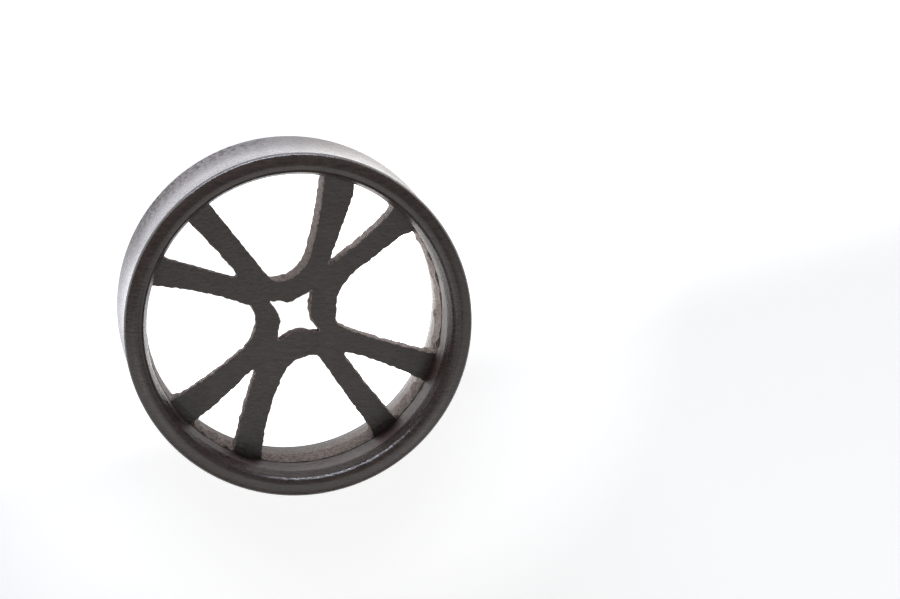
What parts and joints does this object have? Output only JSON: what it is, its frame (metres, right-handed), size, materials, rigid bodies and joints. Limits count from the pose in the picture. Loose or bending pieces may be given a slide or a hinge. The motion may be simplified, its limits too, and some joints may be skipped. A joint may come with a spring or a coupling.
{
  "type": "double flare flesh tunnel with a pierced web",
  "caption": "Turned dark wood ear tunnel with two flared lips, a concave saddle and a pierced spoked web across its bore.",
  "frame": {"origin": "centre of the bore, on the plane that the rear lip rests on", "axes": "+Z along the bore, from the rear lip to the front lip; +X and +Y across the web, to the right and up as it is seen from the front"},
  "size_m": [0.0408, 0.0408, 0.0152],
  "materials": {
    "wood": "oiled and polished, sawn faces left raw"
  },
  "bodies": {
    "root": {"tunnel": "wood"}
  },
  "joints": []
}
